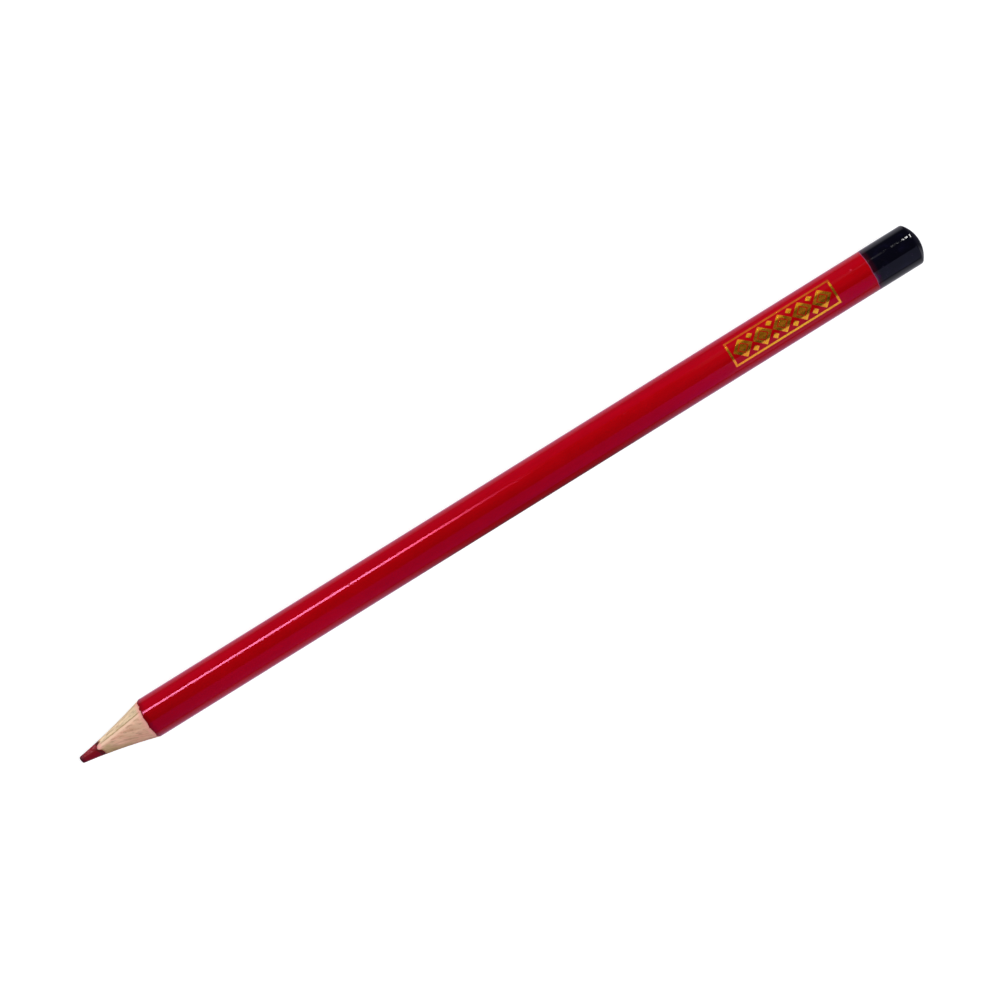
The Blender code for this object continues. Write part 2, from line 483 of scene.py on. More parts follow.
def wood_finish(name, tone, light, casing, coat, turn, shift):
    """Bare, ground wood: growth bands, fibres, sap stains and pores, stained by lead, glue and filler, with
    painted highlights beside the joint and on the tongue over the lead.
    """
    wood = Finish(name, 0.2)
    bands = wood.grain(0.06, 0.9, 2.0, 0.5, turn, shift)
    fibres = wood.grain(0.16, 2.6, 4.0, 0.6, turn, shift)
    threads = wood.grain(0.6, 11.0, 2.0, 0.6, turn, shift)
    stains = wood.step(wood.grain(0.26, 0.6, 2.0, 0.5, turn, shift), 0.52, 0.70)
    dashes = wood.step(wood.grain(0.45, 2.4, 2.0, 0.5, turn, shift), 0.55, 0.68)
    pores = wood.step(wood.grain(0.35, 6.5, 1.0, 0.5, turn, shift), 0.64, 0.74)
    ridges = wood.grain(9.0, 1.1)
    pale = wood.step(bands * 0.5 + fibres * 0.5, 0.40, 0.62)
    base = wood.mix(pale, tone, light)
    sap = wood.step(wood.x, 8.0, 5.5) * wood.step(wood.y, 0.2, -0.4) * wood.step(fibres, 0.30, 0.55)
    radius = wood.radius()
    edge = wood.step(wood.x, 11.0, 9.2) * wood.step(wood.y + radius, 0.95, 0.40)
    edge = edge * (0.6 + wood.step(fibres, 0.40, 0.60) * 0.3)
    base = wood.mix(stains * 0.25 + sap * 0.85 + edge, base, casing.olive)
    dark = wood.step(fibres * 0.5 + threads * 0.5, 0.50, 0.30) * 0.4
    base = wood.mix(dark + dashes * 0.32 + pores * 0.32, base, casing.pore)
    across = wood.y * SEAM_ACROSS.y + wood.z * SEAM_ACROSS.z
    joint = SEAM_GAP / MM
    # Painted highlight: a pale band on the front slat just beside the joint, on the upper part of the cone
    # only
    beside = wood.step(across, -0.75, -0.45) * wood.step(across, -0.04, -0.16)
    base = wood.mix(beside * wood.step(wood.z, 0.4, 0.9) * 0.9, base, casing.beside)
    soaked = wood.step(wood.maths("ABSOLUTE", across), joint + 0.18, joint + 0.04)
    runs = wood.step(wood.grain(1.1, 2.0, 2.0, 0.6), 0.42, 0.58)
    base = wood.mix(soaked * (0.15 + runs * 0.55), base, casing.glue)
    rim, outside = LEAD_RADIUS / MM, SLAT_RADIUS / MM
    # Lead stain in a thin ring round the lead; on the tongue the same pale pink is mostly a painted highlight
    smeared = wood.step(radius, rim + 0.10, rim - 0.10)
    base = wood.mix(smeared * (0.08 + wood.tongue() * 0.92), base, casing.smear_and_highlight)
    primed = wood.step(radius, outside - 0.20, outside - 0.01)
    base = wood.mix(primed * 0.7, base, coat.filler)
    rough = 0.54 + fibres * 0.25 - ridges * 0.08
    return wood.done(base, rough, fibres * 0.5 + threads * 0.6 + ridges * 0.35 - pores * 0.8, 14)


def lead_finish(lead):
    """Waxy coloured lead with fine cutter marks, chalky marks that double as a painted sheen on the upper
    side, a darker blunt end and darker patches at its edge.
    """
    red = Finish("red_lead", 0.25)
    marks = red.grain(6.0, 0.7, 3.0, 0.6)
    streaks = red.grain(0.6, 3.6, 3.0, 0.6)
    grit = red.grain(5.0, 5.0, 2.0, 0.6)
    chalk = red.grain(1.6, 2.4, 2.0, 0.6)
    # Partly chalky cutter marks, partly a painted sheen: kept to the upper side only
    scuffs_and_sheen = red.step(streaks * 0.3 + grit * 0.2 + chalk * 0.5, 0.42, 0.62) * 0.85
    base = red.mix(scuffs_and_sheen * red.step(red.y, 0.0, 0.55), lead.tone, lead.scuff_and_sheen)
    # The blunt end is painted darker, over about its last 0.5 to 1.7 mm
    worn = red.step(red.x + grit * 0.6, 1.7, 0.5)
    rim = LEAD_RADIUS / MM
    # Darker noisy patches in a ring 0.08 to 0.30 mm inside the lead's edge, where the casing begins
    crumbs = red.step(red.grain(1.5, 1.5), 0.36, 0.56)
    dusty = red.step(red.radius(), rim - 0.30, rim - 0.08) * crumbs
    base = red.mix(worn * 0.85, red.mix(dusty * 0.85, base, lead.dust), lead.worn)
    rough = 0.34 + marks * 0.16 + grit * 0.12
    return red.done(base, rough, marks * 0.5 + streaks * 0.4 + grit * 0.8, 14)


def glue_finish(casing):
    """Set glue, darker where it is thicker, and stained next to the lead, with a painted highlight on the
    tongue.
    """
    glue = Finish("seam_glue", 0.3)
    runs = glue.grain(0.6, 5.0, 3.0, 0.6)
    dark = tuple(tone * 0.6 for tone in casing.glue)
    base = glue.mix(glue.step(runs, 0.35, 0.65), dark, casing.glue)
    groove = GROOVE_RADIUS / MM
    stained = glue.step(glue.radius(), groove + 0.15, groove)
    # Lead stain next to the lead; on the tongue partly a painted highlight
    base = glue.mix(stained * (0.15 + glue.tongue() * 0.7), base, casing.smear_and_highlight)
    return glue.done(base, 0.45 + runs * 0.3, runs, 6)


def filler_finish(coat):
    """Flat, chalky primer with some grain of the wood under it and a trace of red from the lacquer."""
    filler = Finish("grain_filler", 0.2)
    chalk = filler.grain(4.0, 4.0, 3.0, 0.6)
    grain = filler.grain(0.4, 7.0, 3.0, 0.6)
    bled = tuple(first * 0.7 + second * 0.3 for first, second in zip(coat.filler, coat.red))
    base = filler.mix(filler.step(chalk * 0.5 + grain * 0.5, 0.38, 0.62), bled, coat.filler)
    return filler.done(base, 0.7 + chalk * 0.2, chalk * 0.6 + grain * 0.4, 8)


def lacquer_finish(coat):
    """Glossy red lacquer: runs along the barrel, faint orange peel, nibs, hairline marks, a darker cut edge,
    painted shade near the tip and behind the front edge, and a painted highlight on one small bump.
    """
    red = Finish("red_lacquer", 0.375, {"Specular Tint": (1.0, 0.26, 0.55, 1.0)})
    runs = red.grain(0.035, 0.55, 3.0, 0.55)
    cloud = red.grain(0.4, 0.5)
    peel = red.grain(0.9, 1.3)
    nibs = red.specks(0.55, 0.7, 0.16, 0.16)
    hairs = red.step(red.grain(0.7, 9.0, 1.0, 0.5, (0.0, 0.12, 0.35)), 0.69, 0.74)
    base = red.mix(red.step(runs * 0.7 + cloud * 0.3, 0.36, 0.64), coat.deep_red, coat.red)
    top = LACQUER_RADIUS / MM
    start = (ground_x(FILLER_RADIUS) - TIP_X) / MM
    # Painted shade: darker over the first 20 mm behind the front edge, deeper on the lower side
    tip_shade = red.step(red.x, start + 20.0, start) * (0.12 + red.step(red.y, 1.4, 0.3) * 0.2)
    # Painted shade in a band just behind the front edge, with a wavering border
    shade_wobble = red.grain(1.6, 1.6, 2.0, 0.6)
    shaded = red.step(red.x - shade_wobble, start + 0.7, start - 0.2) * 0.6
    base = red.mix(tip_shade + shaded, base, coat.cut_edge_and_shade)
    # The cut front edge: rougher and darker, the darkening partly painted shade
    cut = red.step(red.radius(), top - 0.0008, top - 0.010)
    # Painted highlight: a paler spot on a small bump near the dip, which also raises the relief
    bead_and_highlight = red.step(red.near(BEAD), 0.34, 0.0)
    base = red.mix(bead_and_highlight * 0.5, base, coat.bead_and_highlight)
    base = red.mix(cut * 0.8, base, coat.cut_edge_and_shade)
    rough = 0.055 + cloud * 0.05 + hairs * 0.16 + nibs * 0.1 + cut * 0.4
    return red.done(base, rough, peel * 0.10 + nibs + hairs * 0.05 + bead_and_highlight * 6.0, 10)


def dip_finish(dip):
    """Glossy black dip with ripples, a few dust nibs, fine handling marks and a front edge that thins out."""
    black = Finish("black_dip", 0.35)
    cloud = black.grain(0.5, 0.6)
    ripples = black.grain(0.7, 1.0)
    nibs = black.specks(0.9, 1.0, 0.22, 0.15)
    hairs = black.step(black.grain(9.0, 1.2, 1.0, 0.5, (0.0, 0.2, 0.5)), 0.68, 0.74)
    dusty = tuple(tone * 2.5 for tone in dip.black)
    base = black.mix(black.step(cloud, 0.45, 0.75), dip.black, dusty)
    under = LACQUER_RADIUS / MM
    front = (DIP_X - TIP_X) / MM
    base = black.mix(black.step(black.x, front + 0.9, front + 0.1), base, dip.maroon)
    feathered = black.step(black.radius(), under + 0.008, under + 0.001)
    thin = feathered * black.step(black.x, front + 2.0, front + 1.0)
    base = black.mix(thin, base, dip.thin)
    rough = 0.012 + cloud * 0.012 + hairs * 0.12 + thin * 0.3
    return black.done(base, rough, ripples * 0.12 + nibs * 0.6 + hairs * 0.05, 18)


def foil_finish(foil, coat):
    """Hot stamped foil: bright where it was pressed home, duller elsewhere, with pits down to the lacquer."""
    gold = Finish("gold_foil", 0.5)
    press = gold.grain(0.8, 1.0, 3.0, 0.55)
    grit = gold.grain(13.0, 13.0, 2.0, 0.6)
    pits = gold.step(grit * 0.75 + press * 0.25, 0.53, 0.62)
    base = gold.mix(gold.step(press, 0.30, 0.60), foil.bronze, foil.gold)
    base = gold.mix(pits * 0.95, base, coat.red)
    gold.feed("Metallic", 1 - pits * 0.95)
    return gold.done(base, 0.10 + press * 0.06 + grit * 0.05, press * 0.6 + grit * 0.35, 5)


def floor_finish(stage):
    """Pale paper that glows a little, so that it stays even."""
    paper = Finish("pale_paper", 0.0, {"Emission Strength": 0.85, "Emission Color": (1, 1, 1, 1)})
    fibre = paper.grain(0.4, 0.4, 3.0, 0.6)
    shade = tuple(tone * 0.985 for tone in stage.floor)
    return paper.done(paper.mix(fibre, shade, stage.floor), 0.85 + fibre * 0.1)


def turned(outline, steps=BARREL_STEPS):
    """A body turned about the X axis. An outline that starts on the axis is left open there."""
    body = bmesh.new()
    corners = [body.verts.new((x, 0.0, radius)) for x, radius in outline]
    pairs = list(zip(corners, corners[1:]))
    if outline[0][1] > 0:
        pairs.append((corners[-1], corners[0]))
    sides = [body.edges.new(pair) for pair in pairs]
    line = corners + sides
    about = {"axis": (1, 0, 0), "cent": (0, 0, 0), "angle": math.tau}
    bmesh.ops.spin(body, geom=line, steps=steps, use_merge=True, **about)
    bmesh.ops.remove_doubles(body, verts=body.verts, dist=WELD)
    bmesh.ops.recalc_face_normals(body, faces=body.faces)
    return body


def reshaped(body, move):
    """Moves each vertex: move(x, radius, roll) gives its new x and radius. Roll turns from +Z towards +Y."""
    for vertex in body.verts:
        x, y, z = vertex.co
        roll = math.atan2(y, z)
        x, radius = move(x, math.hypot(y, z), roll)
        vertex.co = (x, radius * math.sin(roll), radius * math.cos(roll))
    return body


def linked(name, data):
    """A new object in the scene."""
    made = bpy.data.objects.new(name, data)
    bpy.context.scene.collection.objects.link(made)
    return made


def shown(body, name, material):
    """Makes an object of a body."""
    mesh = bpy.data.meshes.new(name)
    body.to_mesh(mesh)
    body.free()
    mesh.materials.append(material)
    return linked(name, mesh)


def finished(body, name, material, node=None):
    """Makes a piece of the object from a body that was modelled about the X axis."""
    bmesh.ops.translate(body, vec=(0.0, 0.0, AXIS_Z), verts=body.verts)
    piece = shown(body, name, material)
    piece.data.shade_smooth()
    piece.data.set_sharp_from_angle(angle=SHARP)
    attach(piece, "root")
    if node:
        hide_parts(node)


def smooth(value):
    """Smooth rise from 0 to 1."""
    value = min(1.0, max(0.0, value))
    return value * value * (3 - 2 * value)


def fade_out(x, start, far):
    """1 up to a start along the pencil, then smoothly down to 0 this far behind it."""
    return 1 - smooth((x - start) / far)


def ripple(scale, x, radius, roll):
    """Cloudy noise from -1 to 1 on the pencil, with features to the millimetre along and across it."""
    along, across = scale
    radius /= MM
    place = (along * (x - TIP_X) / MM, across * radius * math.sin(roll), across * radius * math.cos(roll))
    return noise.noise(Vector(place))


def cutter_shift(point, radius, roll):
    """How far along the pencil the cutter left the ground surface from where its solid has it."""
    drift = noise.noise(1.4 * Vector((math.cos(roll), math.sin(roll), 0.4)))
    turn = point.flats * roll / math.tau + 0.45 * drift
    across = turn - math.floor(turn) - 0.5
    flat = point.flat_depth * (0.5 - 4 * across * across)
    uneven = noise.noise(Vector((3.1 * math.cos(roll), 3.1 * math.sin(roll), 0.7 * radius / MM)))
    return flat + point.wander * uneven


def cut_x(point, radius, roll):
    """Where along the pencil the cutter left the ground surface at this radius."""
    return ground_x(radius) + cutter_shift(point, radius, roll)


def lead_girth(point, roll):
    """Share of its full radius that the lead, and the groove round it, has on this side."""
    away = (roll - point.lap_roll + math.pi) % math.tau - math.pi
    lap = point.lap * math.exp(-((away / point.lap_width) ** 4))
    return 1 - lap - point.uneven * noise.noise(2.3 * Vector((math.cos(roll), math.sin(roll), 2.0)))


def cone_stations(inner, outer, steps):
    """Points of the ground surface between two radii."""
    radii = (inner + (outer - inner) * step / steps for step in range(steps + 1))
    return [(ground_x(radius), radius) for radius in radii]


def picked(geometry, kind):
    return [item for item in geometry if isinstance(item, kind)]


def sawn(body, place, normal, clear=False):
    """Cuts a body along a plane, and may clear what is behind it. Gives the edges of the cut."""
    whole = [*body.verts, *body.edges, *body.faces]
    plane = {"plane_co": place, "plane_no": normal, "clear_inner": clear}
    cut = bmesh.ops.bisect_plane(body, geom=whole, dist=WELD, **plane)
    return picked(cut["geom_cut"], bmesh.types.BMEdge)


def halved(body, side):
    """Keeps one side of the glued joint and closes the two sawn faces."""
    across = SEAM_ACROSS * side
    bmesh.ops.holes_fill(body, edges=sawn(body, across * SEAM_GAP, across, True))
    bmesh.ops.recalc_face_normals(body, faces=body.faces)
    return body


def slat(settings, side):
    """One ground slat: the cutter's flats and raised fibres on its cone, and a groove that fits the lead."""
    point = settings.point
    seed = 40.0 * side
    outline = cone_stations(GROOVE_RADIUS, SLAT_RADIUS, CONE_STEPS) + butt_rings("front_slat")

    def move(x, radius, roll):
        depth = (SLAT_RADIUS - radius) / (SLAT_RADIUS - GROOVE_RADIUS)
        new_radius = radius - depth * GROOVE_RADIUS * (1 - lead_girth(point, roll))
        if x > 0:
            return x, new_radius
        x = cut_x(point, new_radius, roll)
        margin = 0.06
        inland = smooth(depth / margin) * smooth((1 - depth) / margin)
        coarse = ripple((0.35, 2.6), x, radius, roll + seed)
        fine = ripple((0.9, 6.0), x, radius, roll + seed)
        return x, new_radius + point.fibre * (coarse + 0.7 * fine) * inland

    return halved(reshaped(turned(outline), move), side)


def lead(settings):
    """The ground lead, with a blunt, slightly slanting and crumbled end."""
    point, end = settings.point, settings.lead
    flat_radius = GROUND[0][1]
    centre = [(TIP_X, flat_radius * step / END_STEPS) for step in range(END_STEPS)]
    butt = butt_rings("lead_core")
    outline = centre + cone_stations(flat_radius, LEAD_RADIUS, LEAD_STEPS) + butt + [(butt[-1][0], 0.0)]

    def move(x, radius, roll):
        worn = max(0.0, (radius - flat_radius) / (LEAD_RADIUS - flat_radius))
        new_radius = radius - worn * LEAD_RADIUS * (1 - lead_girth(point, roll))
        if x > 0:
            return x, new_radius
        x += ground_x(new_radius) - ground_x(radius) + worn * cutter_shift(point, new_radius, roll)
        blunt = fade_out(x, TIP_X, BLUNT_LENGTH)
        crumbs = ripple((2.5, 3.2), x, radius, roll) + 0.6 * ripple((6.0, 7.0), x, radius, roll)
        slant = 0.5 - 0.5 * radius * math.sin(roll) / flat_radius
        x += blunt * end.slant * (slant + 0.45 + 0.45 * crumbs)
        ground = smooth(radius / flat_radius) * (x < GLUE_X)
        return x, new_radius + end.crumbs * crumbs * ground

    return reshaped(turned(outline, BARREL_STEPS // 2), move)


def glue(settings):
    """The ring of glue round the lead and the two films between the slats, flush with the ground cone."""
    point = settings.point
    ring = cone_stations(LEAD_RADIUS, GROOVE_RADIUS, GLUE_STEPS)
    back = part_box("front_slat")[1].x
    body = turned(ring + [(back, GROOVE_RADIUS), (back, LEAD_RADIUS)])

    def move(x, radius, roll):
        new_radius = radius - LEAD_RADIUS * (1 - lead_girth(point, roll))
        if x > 0:
            return x, new_radius
        return cut_x(point, new_radius, roll), new_radius

    reshaped(body, move)
    up = SEAM_ACROSS.cross(Vector((1, 0, 0)))
    film = SEAM_GAP * GLUE_FILL
    for way in (1, -1):
        side = up * way
        roll = math.atan2(side.y, side.z)
        inner = GROOVE_RADIUS - LEAD_RADIUS * (1 - lead_girth(point, roll))
        cone = cone_stations(inner, SLAT_RADIUS, CONE_STEPS // 2)
        edge = [(cut_x(point, radius, roll), radius) for x, radius in cone] + butt_rings("front_slat")
        rim = [body.verts.new(Vector((x, 0, 0)) + side * radius - SEAM_ACROSS * film) for x, radius in edge]
        sheet = body.faces.new(rim)
        wall = bmesh.ops.extrude_face_region(body, geom=[sheet])["geom"]
        bmesh.ops.translate(body, vec=SEAM_ACROSS * film * 2, verts=picked(wall, bmesh.types.BMVert))
    bmesh.ops.recalc_face_normals(body, faces=body.faces)
    return body


def filler(settings):
    """The thin pale sleeve, cut by the same cone."""
    point = settings.point
    outline = cone_stations(SLAT_RADIUS, FILLER_RADIUS, FILLER_STEPS)
    start = outline[-1][0]
    outline += [(start + EDGE_HOLD + FILLER_FADE, FILLER_RADIUS)] + butt_rings("filler_coat")
    outline.append((butt_rings("front_slat")[0][0], SLAT_RADIUS))

    def move(x, radius, roll):
        fade = fade_out(x, start + EDGE_HOLD, FILLER_FADE)
        return x + fade * cutter_shift(point, radius, roll), radius

    return reshaped(turned(outline), move)


def lacquer(settings):
    """The red sleeve, whose front edge is rounded, chipped and scalloped by the cutter."""
    point, coat = settings.point, settings.coat
    start = ground_x(FILLER_RADIUS)
    thick = LACQUER_RADIUS - FILLER_RADIUS
    outline = []
    for step in range(LIP_STEPS + 1):
        turn = math.pi / 2 * step / LIP_STEPS
        outline.append((start + coat.lip * (1 - math.cos(turn)), FILLER_RADIUS + thick * math.sin(turn)))
    outline += [(start + far * MM, LACQUER_RADIUS) for far in LIP_RINGS]
    outline += [(DIP_X + far * MM, LACQUER_RADIUS) for far in DIP_RINGS]
    outline += butt_rings("lacquer_coat") + [(butt_rings("filler_coat")[0][0], FILLER_RADIUS)]

    def move(x, radius, roll):
        fade = fade_out(x, start + EDGE_HOLD, LACQUER_FADE)
        chips = smooth(ripple((0.0, 1.9), TIP_X, radius, roll + 1.0) * 2.2 - 0.35)
        nicks = 0.35 * ripple((0.0, 5.5), TIP_X, radius, roll)
        return x + fade * (cutter_shift(point, radius, roll) + coat.chip * (chips + nicks)), radius

    return reshaped(turned(outline), move)


def arc(x, radius, size, start, end, steps):
    """Points of an arc about a centre, from one turn off the axis to another."""
    turns = (start + (end - start) * step / steps for step in range(steps + 1))
    return [(x + size * math.cos(turn), radius + size * math.sin(turn)) for turn in turns]


def butt_outline(dip, depth):
    """The domed butt, this far below the dipped surface, from the barrel in to the axis."""
    dome_x = BUTT_X - math.sqrt(dip.dome**2 - (dip.land / 2) ** 2)
    edge_radius = LACQUER_RADIUS + dip.film - dip.edge
    edge_x = dome_x + math.sqrt((dip.dome - dip.edge) ** 2 - edge_radius**2)
    land_turn = math.acos((BUTT_X - depth - dome_x) / (dip.dome - depth))
    edge_turn = math.atan2(edge_radius, edge_x - dome_x)
    edge = arc(edge_x, edge_radius, dip.edge - depth, math.pi / 2, edge_turn, EDGE_STEPS)
    dome = arc(dome_x, 0.0, dip.dome - depth, edge_turn, land_turn, DOME_STEPS)
    return edge[:-1] + dome + [(BUTT_X - depth, 0.0)]


def dip_cup(settings):
    """The black cup over the butt: a feathered, wavering front edge and slow ripples in the gloss."""
    dip = settings.dip
    thick = dip.film
    inside = butt_outline(dip, thick)
    outside = butt_outline(dip, 0.0)
    rim = []
    for step in range(LIP_STEPS + 1):
        rise = step / LIP_STEPS
        rim.append((DIP_X + dip.lip * rise, LACQUER_RADIUS + thick * smooth(rise)))
    start, full_radius = rim[-1]
    far = outside[0][0] - start
    wall = [(start + far * step / WALL_STEPS, full_radius) for step in range(1, WALL_STEPS)]
    outline = inside[::-1] + rim + wall + outside

    def move(x, radius, roll):
        fade = fade_out(x, DIP_X, DIP_FADE)
        waver = ripple((0.0, 0.75), TIP_X, LACQUER_RADIUS, roll)
        shift = fade * (dip.lean * math.sin(roll) - dip.early + dip.waver * waver)
        swell = 0.5 + 0.5 * ripple((0.55, 0.3), x, radius, roll)
        return x + shift, radius - dip.ripple * swell * (radius > LACQUER_RADIUS + thick / 2)

    return reshaped(turned(outline), move)


def wrapped(body, foil):
    """Bends a flat pattern, drawn on x and y about its middle, round the barrel and thickens it."""
    flat = list(body.faces)
    bmesh.ops.recalc_face_normals(body, faces=flat)
    raised = bmesh.ops.extrude_face_region(body, geom=flat, use_keep_orig=True)["geom"]
    tops = set(picked(raised, bmesh.types.BMVert))
    for vertex in body.verts:
        roll = foil.roll + vertex.co.y / LACQUER_RADIUS
        radius = LACQUER_RADIUS + (foil.thick if vertex in tops else -foil.thick / 2)
        x = TIP_X + foil.middle + vertex.co.x
        vertex.co = (x, radius * math.sin(roll), radius * math.cos(roll))
    bmesh.ops.recalc_face_normals(body, faces=body.faces)
    return body


def hollow_out(body, corners, border):
    """Leaves only a border of this width of a flat face."""
    faces = list({face for corner in corners for face in corner.link_faces})
    bmesh.ops.inset_region(body, faces=faces, thickness=border, use_boundary=True, use_even_offset=True)
    bmesh.ops.delete(body, geom=faces, context="FACES")


def lozenge(body, x, y, width, height, border=0.0):
    """A flat lozenge, whole or only its border."""
    corners = bmesh.ops.create_circle(body, cap_ends=True, segments=4, radius=0.5)["verts"]
    bmesh.ops.scale(body, vec=(width, height, 1.0), verts=corners)
    bmesh.ops.translate(body, vec=(x, y, 0.0), verts=corners)
    if border:
        hollow_out(body, corners, border)


def ornament(settings):
    """A row of bold lozenges in a plain border, with small lozenges in the gaps."""
    foil = settings.foil
    body = bmesh.new()
    frame_corners = bmesh.ops.create_grid(body, x_segments=1, y_segments=1, size=0.5)["verts"]
    bmesh.ops.scale(body, vec=(foil.reach, foil.height, 1.0), verts=frame_corners)
    hollow_out(body, frame_corners, foil.border)
    margins = 3.2 * foil.border
    row = foil.height - margins
    pitch = (foil.reach - margins) / foil.lozenges
    # Shares of the pitch and of the height of the row
    large, line, core, small, lift = 0.97, 0.15, 0.46, 0.32, 0.35
    for place in range(foil.lozenges):
        x = (place - (foil.lozenges - 1) / 2) * pitch
        lozenge(body, x, 0.0, pitch * large, row, row * line)
        lozenge(body, x, 0.0, pitch * core, row * core)
    for place in range(1, foil.lozenges):
        x = (place - foil.lozenges / 2) * pitch
        for y in (lift * row, -lift * row):
            lozenge(body, x, y, pitch * small, row * small)
    for step in range(1, FOIL_BANDS):
        sawn(body, (0.0, foil.height * (step / FOIL_BANDS - 0.5), 0.0), (0.0, 1.0, 0.0))
    return wrapped(body, foil)


class PencilCasing(Operator):
    """Turns the two ground slats of the casing"""

    bl_idname = "pencil.casing"
    bl_label = "Casing"

    def execute(self, context):
        settings = context.scene.pencil
        casing, coat = settings.casing, settings.coat
        tones = casing.rear_tone, casing.rear_light
        rear = wood_finish("rear_wood", *tones, casing, coat, (0.0, 0.02, 0.06), (3.0, 1.0, 7.0))
        tones = casing.front_tone, casing.front_light
        front = wood_finish("front_wood", *tones, casing, coat, (0.0, 0.0, -0.30), (11.0, 5.0, 2.0))
        finished(slat(settings, 1), "rear_casing", rear, "rear_slat")
        finished(slat(settings, -1), "front_casing", front, "front_slat")
        return {"FINISHED"}


class PencilLead(Operator):
    """Turns the lead and the glue that holds it"""

    bl_idname = "pencil.lead"
    bl_label = "Lead and glue"

    def execute(self, context):
        settings = context.scene.pencil
        finished(lead(settings), "ground_lead", lead_finish(settings.lead), "lead_core")
        finished(glue(settings), "casing_glue", glue_finish(settings.casing), "glue_film")
        return {"FINISHED"}


class PencilCoats(Operator):
    """Turns the filler and the red lacquer"""

    bl_idname = "pencil.coats"
    bl_label = "Filler and lacquer"

    def execute(self, context):
        settings = context.scene.pencil
        coat = settings.coat
        finished(filler(settings), "primer", filler_finish(coat), "filler_coat")
        finished(lacquer(settings), "red_barrel", lacquer_finish(coat), "lacquer_coat")
        return {"FINISHED"}


class PencilDip(Operator):
    """Turns the black dipped butt"""

    bl_idname = "pencil.dip"
    bl_label = "Dip"

    def execute(self, context):
        settings = context.scene.pencil
        finished(dip_cup(settings), "black_butt", dip_finish(settings.dip), "dip_coat")
        return {"FINISHED"}


class PencilFoil(Operator):
    """Stamps the foil ornament on the barrel"""

    bl_idname = "pencil.foil"
    bl_label = "Foil ornament"

    def execute(self, context):
        settings = context.scene.pencil
        material = foil_finish(settings.foil, settings.coat)
        finished(ornament(settings), "foil_ornament", material)
        return {"FINISHED"}


def soft_light(name, place, size, radiance, tint, aim=None):
    """An even rectangular light that faces its aim, or else straight across to the pencil's axis."""
    lamp = bpy.data.lights.new(name, "AREA")
    lamp.shape = "RECTANGLE"
    lamp.size, lamp.size_y = size
    lamp.energy = radiance * math.pi * size[0] * size[1]
    lamp.color = tint
    holder = linked(name, lamp)
    place = Vector(place)
    target = Vector(aim or (place.x, 0.0, AXIS_Z))
    holder.location = place
    holder.rotation_euler = (target - place).to_track_quat("-Z", "Y").to_euler()
    holder.visible_camera = False
    return holder


def swung(roll, far, x):
    """A place this far from the axis, turned from straight up towards +Y."""
    return x, far * math.sin(math.radians(roll)), AXIS_Z + far * math.cos(math.radians(roll))


